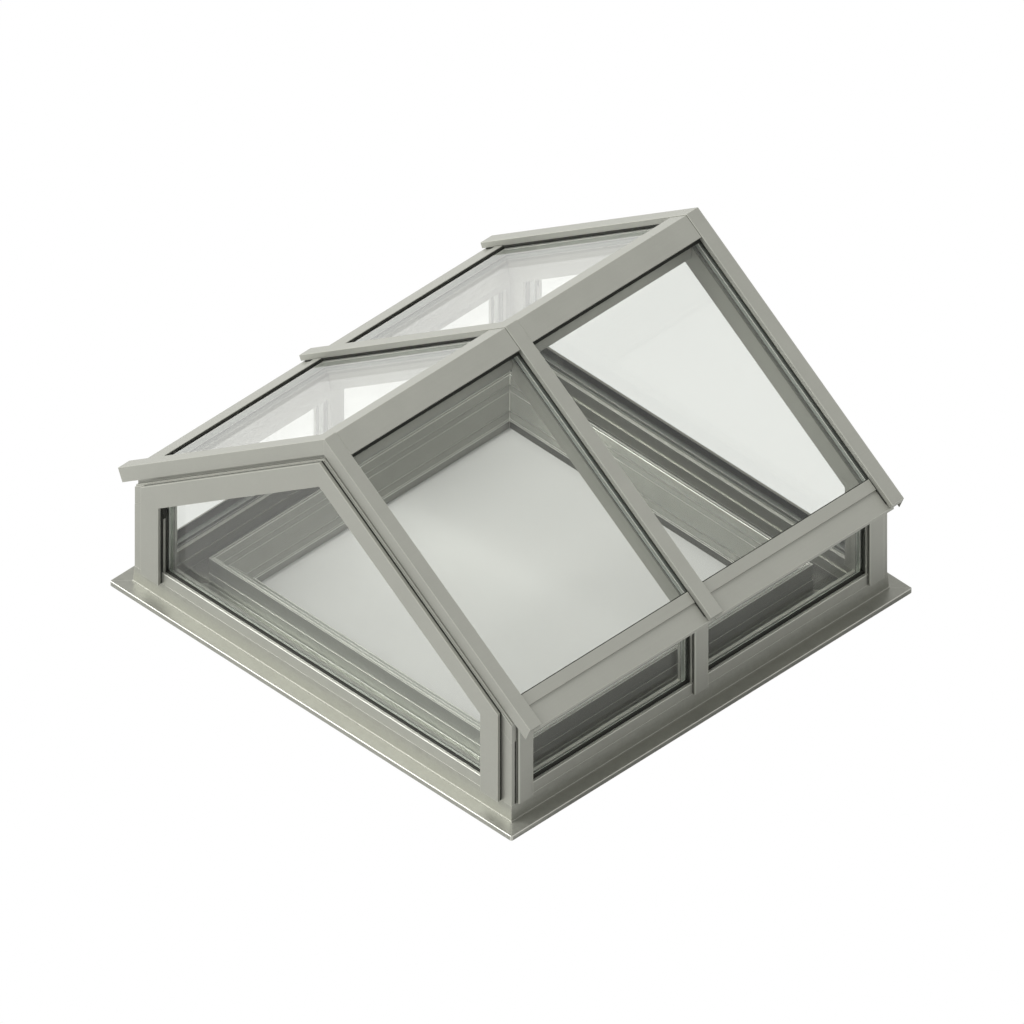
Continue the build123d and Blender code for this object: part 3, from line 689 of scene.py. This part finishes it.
def tape_inner_faces(mesh):
    """Give the second material to seal faces on the wall panes, and lift them off a little."""
    pane_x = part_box("side_glass_front_right")[1].x
    pane_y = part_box("gable_glass_rear")[1].y
    taped = set()
    for face in mesh.polygons:
        centre, normal = face.center, face.normal
        behind_side = abs(centre.x) > pane_x - TAPE_LIFT and normal.x * centre.x < -pane_x * FACING
        behind_gable = abs(centre.y) > pane_y - TAPE_LIFT and normal.y * centre.y < -pane_y * FACING
        if behind_side or behind_gable:
            face.material_index = 1
            taped.update(face.vertices)
    for index in taped:
        point = mesh.vertices[index].co
        if abs(abs(point.x) - pane_x) < TAPE_LIFT:
            point.x += math.copysign(TAPE_LIFT, point.x)
        if abs(abs(point.y) - pane_y) < TAPE_LIFT:
            point.y += math.copysign(TAPE_LIFT, point.y)


def unit_outline(name):
    """Corners of a glass unit on its middle plane, in order, and the plane's normal."""
    mesh = NODES[name].data
    normal = max(mesh.polygons, key=lambda face: face.area).normal.copy()
    heights = [vertex.co.dot(normal) for vertex in mesh.vertices]
    middle = (min(heights) + max(heights)) / 2
    corners = []
    for vertex, height in zip(mesh.vertices, heights):
        flat = vertex.co + normal * (middle - height)
        if all((flat - other).length > 1e-4 for other in corners):
            corners.append(flat)
    centre = sum(corners, Vector()) / len(corners)
    across = (corners[0] - centre).normalized()
    upwards = normal.cross(across)
    corners.sort(key=lambda p: math.atan2((p - centre).dot(upwards), (p - centre).dot(across)))
    return corners, normal


def inset_outline(corners, normal, reach):
    """Outline moved inwards by a distance, with sharp corners."""
    count = len(corners)
    moved = []
    for index, corner in enumerate(corners):
        before = (corner - corners[index - 1]).normalized()
        after = (corners[(index + 1) % count] - corner).normalized()
        inward_before = normal.cross(before)
        inward_after = normal.cross(after)
        bisector = (inward_before + inward_after).normalized()
        moved.append(corner + bisector * (reach / bisector.dot(inward_before)))
    return moved


# Spacer holes


def hole_tree(material):
    """Geometry Nodes tree that sets short holes along an outline."""
    tree = bpy.data.node_groups.new("spacer holes", "GeometryNodeTree")
    group_socket(tree, "Outline", "INPUT", "NodeSocketGeometry")
    group_socket(tree, "Pitch", "INPUT", "NodeSocketFloat", 0.012)
    group_socket(tree, "Hole Length", "INPUT", "NodeSocketFloat", 0.003)
    group_socket(tree, "Hole Width", "INPUT", "NodeSocketFloat", 0.0009)
    group_socket(tree, "Holes", "OUTPUT", "NodeSocketGeometry")
    given = add_node(tree, "NodeGroupInput")
    made = add_node(tree, "NodeGroupOutput")
    path = add_node(tree, "GeometryNodeMeshToCurve")
    points = add_node(tree, "GeometryNodeCurveToPoints", mode="LENGTH")
    size = add_node(tree, "ShaderNodeCombineXYZ")
    peg = add_node(tree, "GeometryNodeMeshCylinder")
    peg.inputs["Vertices"].default_value = HOLE_FACES
    peg.inputs["Radius"].default_value = 0.5
    peg.inputs["Depth"].default_value = 1.0
    turn = add_node(tree, "FunctionNodeAlignRotationToVector", axis="Z")
    place = add_node(tree, "GeometryNodeInstanceOnPoints")
    solid = add_node(tree, "GeometryNodeRealizeInstances")
    paint_holes = add_node(tree, "GeometryNodeSetMaterial")
    paint_holes.inputs["Material"].default_value = material
    link(tree, given.outputs["Outline"], path.inputs["Mesh"])
    link(tree, path.outputs["Curve"], points.inputs["Curve"])
    link(tree, given.outputs["Pitch"], points.inputs["Length"])
    link(tree, points.outputs["Tangent"], turn.inputs["Vector"])
    link(tree, given.outputs["Hole Width"], size.inputs["X"])
    link(tree, given.outputs["Hole Width"], size.inputs["Y"])
    link(tree, given.outputs["Hole Length"], size.inputs["Z"])
    link(tree, points.outputs["Points"], place.inputs["Points"])
    link(tree, peg.outputs["Mesh"], place.inputs["Instance"])
    link(tree, turn.outputs["Rotation"], place.inputs["Rotation"])
    link(tree, size.outputs["Vector"], place.inputs["Scale"])
    link(tree, place.outputs["Instances"], solid.inputs["Geometry"])
    link(tree, solid.outputs["Geometry"], paint_holes.inputs["Geometry"])
    link(tree, paint_holes.outputs["Geometry"], made.inputs["Holes"])
    return tree


def input_key(tree, name):
    """Identifier of a named modifier input."""
    for item in tree.interface.items_tree:
        if item.in_out == "INPUT" and item.name == name:
            return item.identifier
    raise RuntimeError(f"the tree has no input named {name}")


def outline_object(name, outlines):
    """Object of closed edge loops."""
    points = []
    edges = []
    for outline in outlines:
        start = len(points)
        count = len(outline)
        points += outline
        edges += [(start + i, start + (i + 1) % count) for i in range(count)]
    mesh = bpy.data.meshes.new(name)
    mesh.from_pydata([tuple(p) for p in points], edges, [])
    thing = bpy.data.objects.new(name, mesh)
    bpy.context.scene.collection.objects.link(thing)
    return thing


def realized(thing, tree, values):
    """Run a Geometry Nodes tree on an object and keep its result as a plain mesh."""
    modifier = thing.modifiers.new("made", "NODES")
    modifier.node_group = tree
    for name, value in values.items():
        modifier[input_key(tree, name)] = value
    shown = thing.evaluated_get(bpy.context.evaluated_depsgraph_get())
    mesh = bpy.data.meshes.new_from_object(shown)
    thing.modifiers.clear()
    thing.data = mesh
    if not mesh.polygons:
        raise RuntimeError(f"{thing.name} came out empty")
    return thing


# Operators


class SKYLIGHT_OT_curb(bpy.types.Operator):
    """Finish the curb rails and the inner upstands"""

    bl_idname = "skylight.curb"
    bl_label = "Curb"

    def execute(self, context):
        settings = context.scene.skylight_metal
        # The rail edge tone and the bright edge tone are painted highlights on the marked edges
        coat, highlit, bright = settings.coat_tone, settings.rail_edge_tone, settings.bright_edge_tone
        # Lit and shaded copies of the upstand coat: the front painted lighter, the rear painted
        # darker, left and right on the plain upstand tone
        lit_and_shaded_tones = {"front": settings.front_painted_light_tone, "rear": settings.rear_painted_shade_tone}
        for side, streak in CURB_SIDES.items():
            tone = lit_and_shaded_tones.get(side, settings.upstand_tone)
            rail = coated_metal(f"curb coat {side}", coat, highlit, streak=streak, **RAIL_FINISH)
            upstand = coated_metal(
                f"upstand coat {side}", tone, bright, streak=streak, **UPSTAND_FINISH
            )
            dress(f"curb_rail_{side}", settings.frame_edge, rail, settings.curb_edge_share)
            dress(f"inner_upstand_{side}", settings.upstand_edge, upstand)
        return {"FINISHED"}


class SKYLIGHT_OT_frame(bpy.types.Operator):
    """Finish the posts, beams and rafters"""

    bl_idname = "skylight.frame"
    bl_label = "Frame"

    def execute(self, context):
        settings = context.scene.skylight_metal
        # The frame's marked edges get the painted highlight of the soft edge tone
        tone, edge_tone = settings.coat_tone, settings.soft_edge_tone
        material = coated_metal("frame coat", tone, edge_tone, cloud=(11.0, 0.14))
        beams = nodes_named("corner_post", "mid_post", "eave_beam", "ridge_beam")
        rafters = [name for name in nodes_named("mid_rafter", "gable_rafter") if "cap" not in name]
        for name in beams + rafters:
            dress(name, settings.frame_edge, material)
        return {"FINISHED"}


class SKYLIGHT_OT_caps(bpy.types.Operator):
    """Finish the rafter caps and ridge caps"""

    bl_idname = "skylight.caps"
    bl_label = "Caps"

    def execute(self, context):
        settings = context.scene.skylight_metal
        # The caps' marked edges get the painted highlight of the soft edge tone
        tone, edge_tone = settings.coat_tone, settings.soft_edge_tone
        material = coated_metal("cap coat", tone, edge_tone, cloud=(9.0, 0.14))
        for name in nodes_named("mid_rafter_cap", "gable_rafter_cap", "ridge_cap"):
            dress(name, settings.trim_edge, material)
        return {"FINISHED"}


class SKYLIGHT_OT_trim(bpy.types.Operator):
    """Finish the gable frames, side covers, retainers and flashings"""

    bl_idname = "skylight.trim"
    bl_label = "Trim"

    def execute(self, context):
        settings = context.scene.skylight_metal
        # The trim's marked edges get the painted highlight of the soft edge tone
        tone, edge_tone = settings.coat_tone, settings.soft_edge_tone
        material = coated_metal("trim coat", tone, edge_tone, cloud=(7.0, 0.12))
        for name in nodes_named("gable_frame", "side_covers", "eave_retainer", "eave_flashing"):
            dress(name, settings.trim_edge, material)
        return {"FINISHED"}


class SKYLIGHT_OT_beads(bpy.types.Operator):
    """Finish the sill beads"""

    bl_idname = "skylight.beads"
    bl_label = "Sill beads"

    def execute(self, context):
        settings = context.scene.skylight_metal
        # The beads' marked edges get the painted highlight of the bead edge tone
        tone, edge_tone = settings.coat_tone, settings.bead_edge_tone
        material = coated_metal("bead coat", tone, edge_tone, cloud=(20.0, 0.2))
        for name in nodes_named("sill_bead"):
            dress(name, settings.trim_edge, material)
        return {"FINISHED"}


class SKYLIGHT_OT_glass(bpy.types.Operator):
    """Glaze the roof, the sides and the gables"""

    bl_idname = "skylight.glass"
    bl_label = "Glass"

    def execute(self, context):
        material = pane_glass()
        for name in nodes_named("roof_glass", "side_glass", "gable_glass"):
            paint(name, material)
        return {"FINISHED"}


class SKYLIGHT_OT_seals(bpy.types.Operator):
    """Finish the gaskets, the setting blocks and the spacer frames"""

    bl_idname = "skylight.seals"
    bl_label = "Seals and spacers"

    def execute(self, context):
        settings = context.scene.skylight_glass
        metal = context.scene.skylight_metal
        rubber = grained("seal rubber", settings.seal_tone, 0.85, RUBBER_GRAIN)
        inner = grained("inner seal", settings.inner_seal_tone, 0.7, RUBBER_GRAIN)
        plastic = grained("block plastic", settings.seal_tone, 0.6, SMOOTH_GRAIN)
        tape = grained("glazing tape", settings.tape_painted_light_tone, 0.5, SMOOTH_GRAIN, metallic=0.3)
        self.seal_with_tape("outer_gaskets", rubber, tape)
        paint("inner_gaskets", inner)
        paint("setting_blocks", plastic)
        # The spacer's marked edges get the painted highlight of the bright edge tone
        tone, edge_tone = settings.spacer_tone, metal.bright_edge_tone
        bar = coated_metal("spacer metal", tone, edge_tone, metallic=0.8)
        dress("spacer_frames", metal.trim_edge, bar)
        return {"FINISHED"}

    def seal_with_tape(self, name, rubber, tape):
        """Copy of the outer seals with glazing tape where they press on the wall panes; its
        near-white colour is painted light, standing in for light that reaches it through the panes.
        """
        mesh = NODES[name].data.copy()
        mesh.materials.clear()
        mesh.materials.append(rubber)
        mesh.materials.append(tape)
        tape_inner_faces(mesh)
        piece = bpy.data.objects.new(f"{name}.finished", mesh)
        bpy.context.scene.collection.objects.link(piece)
        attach(piece, "root")
        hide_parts(name)


class SKYLIGHT_OT_jamb_lips(bpy.types.Operator):
    """Line the seals of the wall units with thin metal lips and feathered sill edges"""

    bl_idname = "skylight.jamb_lips"
    bl_label = "Jamb lips"

    def execute(self, context):
        settings = context.scene.skylight_metal
        glass = context.scene.skylight_glass
        bm = bmesh.new()
        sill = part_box("sill_bead_front")[1].z
        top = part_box("eave_beam_right")[0].z
        outer_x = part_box("side_covers_right")[0].x
        outer_y = -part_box("corner_post_front_right")[0].y
        depth, sheet = glass.lip_depth, glass.lip_sheet
        for side_x in (-1, 1):
            for side_y in (-1, 1):
                for seat, away in ((glass.mid_jamb, 1), (glass.corner_jamb, -1)):
                    span_y = (seat, seat + away * sheet)
                    self.bar(bm, (outer_x - depth, outer_x), span_y, (sill, top), side_x, side_y)
                span_x = (glass.gable_jamb - sheet, glass.gable_jamb)
                self.bar(bm, span_x, (outer_y - depth, outer_y), (sill, top), side_x, side_y)
        coat = coated_metal("lip coat", settings.coat_tone, settings.soft_edge_tone)
        self.finish(bm, "jamb_lips", (coat,), "trim")
        self.sill_seals(glass)
        return {"FINISHED"}

    def sill_seals(self, glass):
        """Feathered upper edges of the sill wedges, lying on the panes."""
        bm = bmesh.new()
        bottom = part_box("sill_bead_front")[1].z
        pane_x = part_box("side_glass_front_right")[1].x
        pane_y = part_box("gable_glass_rear")[1].y
        skin = glass.sill_lip_skin
        for side_x in (-1, 1):
            for side_y in (-1, 1):
                span_z = (bottom, bottom + glass.side_sill_lip)
                span_y = (glass.mid_jamb, glass.corner_jamb)
                self.bar(bm, (pane_x, pane_x + skin), span_y, span_z, side_x, side_y)
                span_x = (0.0, glass.gable_jamb)
                span_z = (bottom, bottom + glass.gable_sill_lip)
                self.bar(bm, span_x, (pane_y, pane_y + skin), span_z, side_x, side_y)
        rubber = grained("sill lip rubber", glass.seal_tone, 0.85, RUBBER_GRAIN)
        # The tape faces of the sill lips carry the painted light of the tape tone
        tape = grained("sill lip tape", glass.tape_painted_light_tone, 0.5, SMOOTH_GRAIN, metallic=0.3)
        lips = self.finish(bm, "sill_lips", (rubber, tape), "seal")
        tape_inner_faces(lips.data)

    def finish(self, bm, name, materials, slot):
        """Turn the bars into one piece."""
        mesh = bpy.data.meshes.new(name)
        bm.to_mesh(mesh)
        bm.free()
        for material in materials:
            mesh.materials.append(material)
        piece = bpy.data.objects.new(name, mesh)
        bpy.context.scene.collection.objects.link(piece)
        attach(piece, "root")
        return piece

    def bar(self, bm, span_x, span_y, span_z, side_x, side_y):
        """Closed box between the given limits, mirrored into one quarter of the plan."""
        low_x, high_x = sorted(side_x * x for x in span_x)
        low_y, high_y = sorted(side_y * y for y in span_y)
        low_z, high_z = span_z
        middle = Vector(((low_x + high_x) / 2, (low_y + high_y) / 2, (low_z + high_z) / 2))
        size = Matrix.Diagonal((high_x - low_x, high_y - low_y, high_z - low_z, 1.0))
        bmesh.ops.create_cube(bm, size=1.0, matrix=Matrix.Translation(middle) @ size)


class SKYLIGHT_OT_spacer_holes(bpy.types.Operator):
    """Pierce the spacer frames with rows of drying holes"""

    bl_idname = "skylight.spacer_holes"
    bl_label = "Spacer holes"

    def execute(self, context):
        settings = context.scene.skylight_glass
        shaded = grained("spacer hole", settings.hole_tone, 0.8, (400.0, 0.05, 0.00005))
        outlines = []
        for name in nodes_named("roof_glass", "side_glass", "gable_glass"):
            corners, normal = unit_outline(name)
            outlines.append(inset_outline(corners, normal, settings.spacer_reach))
        holes = outline_object("spacer_holes", outlines)
        values = {
            "Pitch": settings.hole_pitch,
            "Hole Length": settings.hole_length,
            "Hole Width": settings.hole_width,
        }
        realized(holes, hole_tree(shaded), values)
        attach(holes, "root")
        return {"FINISHED"}


class SKYLIGHT_OT_stage(bpy.types.Operator):
    """Lay the floor, hang the lights and set the camera"""

    bl_idname = "skylight.stage"
    bl_label = "Stage"

    def execute(self, context):
        settings = context.scene.skylight_stage
        self.floor(settings)
        self.lights(context, settings)
        self.camera(context, settings)
        context.scene.view_settings.view_transform = "Standard"
        return {"FINISHED"}

    def floor(self, settings):
        """Pale floor: shadowless white outside the curb, plain matt inside it."""
        half = settings.floor_size / 2
        inner_x = (CAD_HIGH[0] - CAD_LOW[0]) / 2 - settings.room_margin
        inner_y = (CAD_HIGH[1] - CAD_LOW[1]) / 2 - settings.room_margin
        corners = []
        for reach_x, reach_y in ((half, half), (inner_x, inner_y)):
            corners += [
                (-reach_x, -reach_y, 0.0),
                (reach_x, -reach_y, 0.0),
                (reach_x, reach_y, 0.0),
                (-reach_x, reach_y, 0.0),
            ]
        faces = [(side, (side + 1) % 4, (side + 1) % 4 + 4, side + 4) for side in range(4)]
        faces.append((4, 5, 6, 7))
        mesh = bpy.data.meshes.new("floor")
        mesh.from_pydata(corners, [], faces)
        tone = settings.room_tone
        mesh.materials.append(self.white_ground("near ground", settings.near_ground))
        mesh.materials.append(self.white_ground("far ground", settings.far_ground))
        mesh.materials.append(grained("room floor", (tone, tone, tone), 0.9, (40.0, 0.01, 0.0001)))
        # The strips run front, right, rear and left, and the last face is the floor inside
        for face, index in zip(mesh.polygons, (0, 0, 1, 1, 2)):
            face.material_index = index
        floor = bpy.data.objects.new("floor", mesh)
        bpy.context.scene.collection.objects.link(floor)

    def white_ground(self, name, tone):
        """Floor that looks plain white and throws soft light back on the skylight."""
        material, tree, output = new_material(name)
        matt = add_node(tree, "ShaderNodeBsdfDiffuse")
        matt.inputs["Color"].default_value = (tone, tone, tone, 1.0)
        white = add_node(tree, "ShaderNodeEmission")
        rays = add_node(tree, "ShaderNodeLightPath")
        mix = add_node(tree, "ShaderNodeMixShader")
        link(tree, rays.outputs["Is Camera Ray"], mix.inputs[0])
        link(tree, matt.outputs["BSDF"], mix.inputs[1])
        link(tree, white.outputs["Emission"], mix.inputs[2])
        link(tree, mix.outputs["Shader"], output.inputs["Surface"])
        return material

    def lights(self, context, settings):
        """Even sky with one broad key light from the front left."""
        world = bpy.data.worlds.new("studio")
        world.use_nodes = True
        tree = world.node_tree
        backdrop = tree.nodes["Background"]
        backdrop.inputs["Strength"].default_value = settings.sky_strength
        white = add_node(tree, "ShaderNodeBackground")
        rays = add_node(tree, "ShaderNodeLightPath")
        mix = add_node(tree, "ShaderNodeMixShader")
        backdrop.inputs["Color"].default_value = (*settings.light_tone, 1.0)
        white.inputs["Color"].default_value = (1.0, 1.0, 1.0, 1.0)
        link(tree, rays.outputs["Is Camera Ray"], mix.inputs[0])
        link(tree, backdrop.outputs["Background"], mix.inputs[1])
        link(tree, white.outputs["Background"], mix.inputs[2])
        link(tree, mix.outputs["Shader"], tree.nodes["World Output"].inputs["Surface"])
        context.scene.world = world
        key = bpy.data.lights.new("key", "SUN")
        key.energy = settings.sun_strength
        key.color = settings.light_tone
        key.angle = settings.sun_spread
        key_lamp = bpy.data.objects.new("key", key)
        towards = Vector(settings.sun_direction)
        key_lamp.rotation_euler = towards.to_track_quat("-Z", "Y").to_euler()
        bpy.context.scene.collection.objects.link(key_lamp)

    def camera(self, context, settings):
        """Parallel camera above the front right corner."""
        azimuth, elevation = settings.azimuth, settings.elevation
        back = Vector(
            (
                math.sin(azimuth) * math.cos(elevation),
                -math.cos(azimuth) * math.cos(elevation),
                math.sin(elevation),
            )
        )
        right = Vector((math.cos(azimuth), math.sin(azimuth), 0.0))
        up = back.cross(right)
        lens = bpy.data.cameras.new("camera")
        lens.type = "ORTHO"
        lens.ortho_scale = settings.view_width
        lens.clip_end = 4 * settings.camera_distance
        camera = bpy.data.objects.new("camera", lens)
        target = right * settings.view_right + up * settings.view_up
        camera.matrix_world = Matrix.Translation(target + back * settings.camera_distance) @ Matrix(
            (right, up, back)
        ).transposed().to_4x4()
        bpy.context.scene.collection.objects.link(camera)
        context.scene.camera = camera


OPERATORS = (
    SKYLIGHT_OT_curb,
    SKYLIGHT_OT_frame,
    SKYLIGHT_OT_caps,
    SKYLIGHT_OT_trim,
    SKYLIGHT_OT_beads,
    SKYLIGHT_OT_glass,
    SKYLIGHT_OT_seals,
    SKYLIGHT_OT_jamb_lips,
    SKYLIGHT_OT_spacer_holes,
    SKYLIGHT_OT_stage,
)


class SKYLIGHT_PT_panel(bpy.types.Panel):
    """Steps and settings of the skylight"""

    bl_label = "Roof skylight"
    bl_idname = "SKYLIGHT_PT_panel"
    bl_space_type = "VIEW_3D"
    bl_region_type = "UI"
    bl_category = "Skylight"

    def draw(self, context):
        for operator in OPERATORS:
            self.layout.operator(operator.bl_idname)
        for group in ("skylight_metal", "skylight_glass", "skylight_stage"):
            box = self.layout.box()
            settings = getattr(context.scene, group)
            for key in settings.__annotations__:
                box.prop(settings, key)


CLASSES = (MetalSettings, GlassSettings, StageSettings, *OPERATORS, SKYLIGHT_PT_panel)


def register():
    """Register the classes and their settings."""
    for item in CLASSES:
        bpy.utils.register_class(item)
    bpy.types.Scene.skylight_metal = PointerProperty(type=MetalSettings)
    bpy.types.Scene.skylight_glass = PointerProperty(type=GlassSettings)
    bpy.types.Scene.skylight_stage = PointerProperty(type=StageSettings)


def unregister():
    """Remove the classes and their settings."""
    del bpy.types.Scene.skylight_stage
    del bpy.types.Scene.skylight_glass
    del bpy.types.Scene.skylight_metal
    for item in reversed(CLASSES):
        bpy.utils.unregister_class(item)


def main():
    """Make every piece in order."""
    register()
    for operator in OPERATORS:
        group, step = operator.bl_idname.split(".")
        getattr(getattr(bpy.ops, group), step)()


if __name__ == "__main__":
    main()
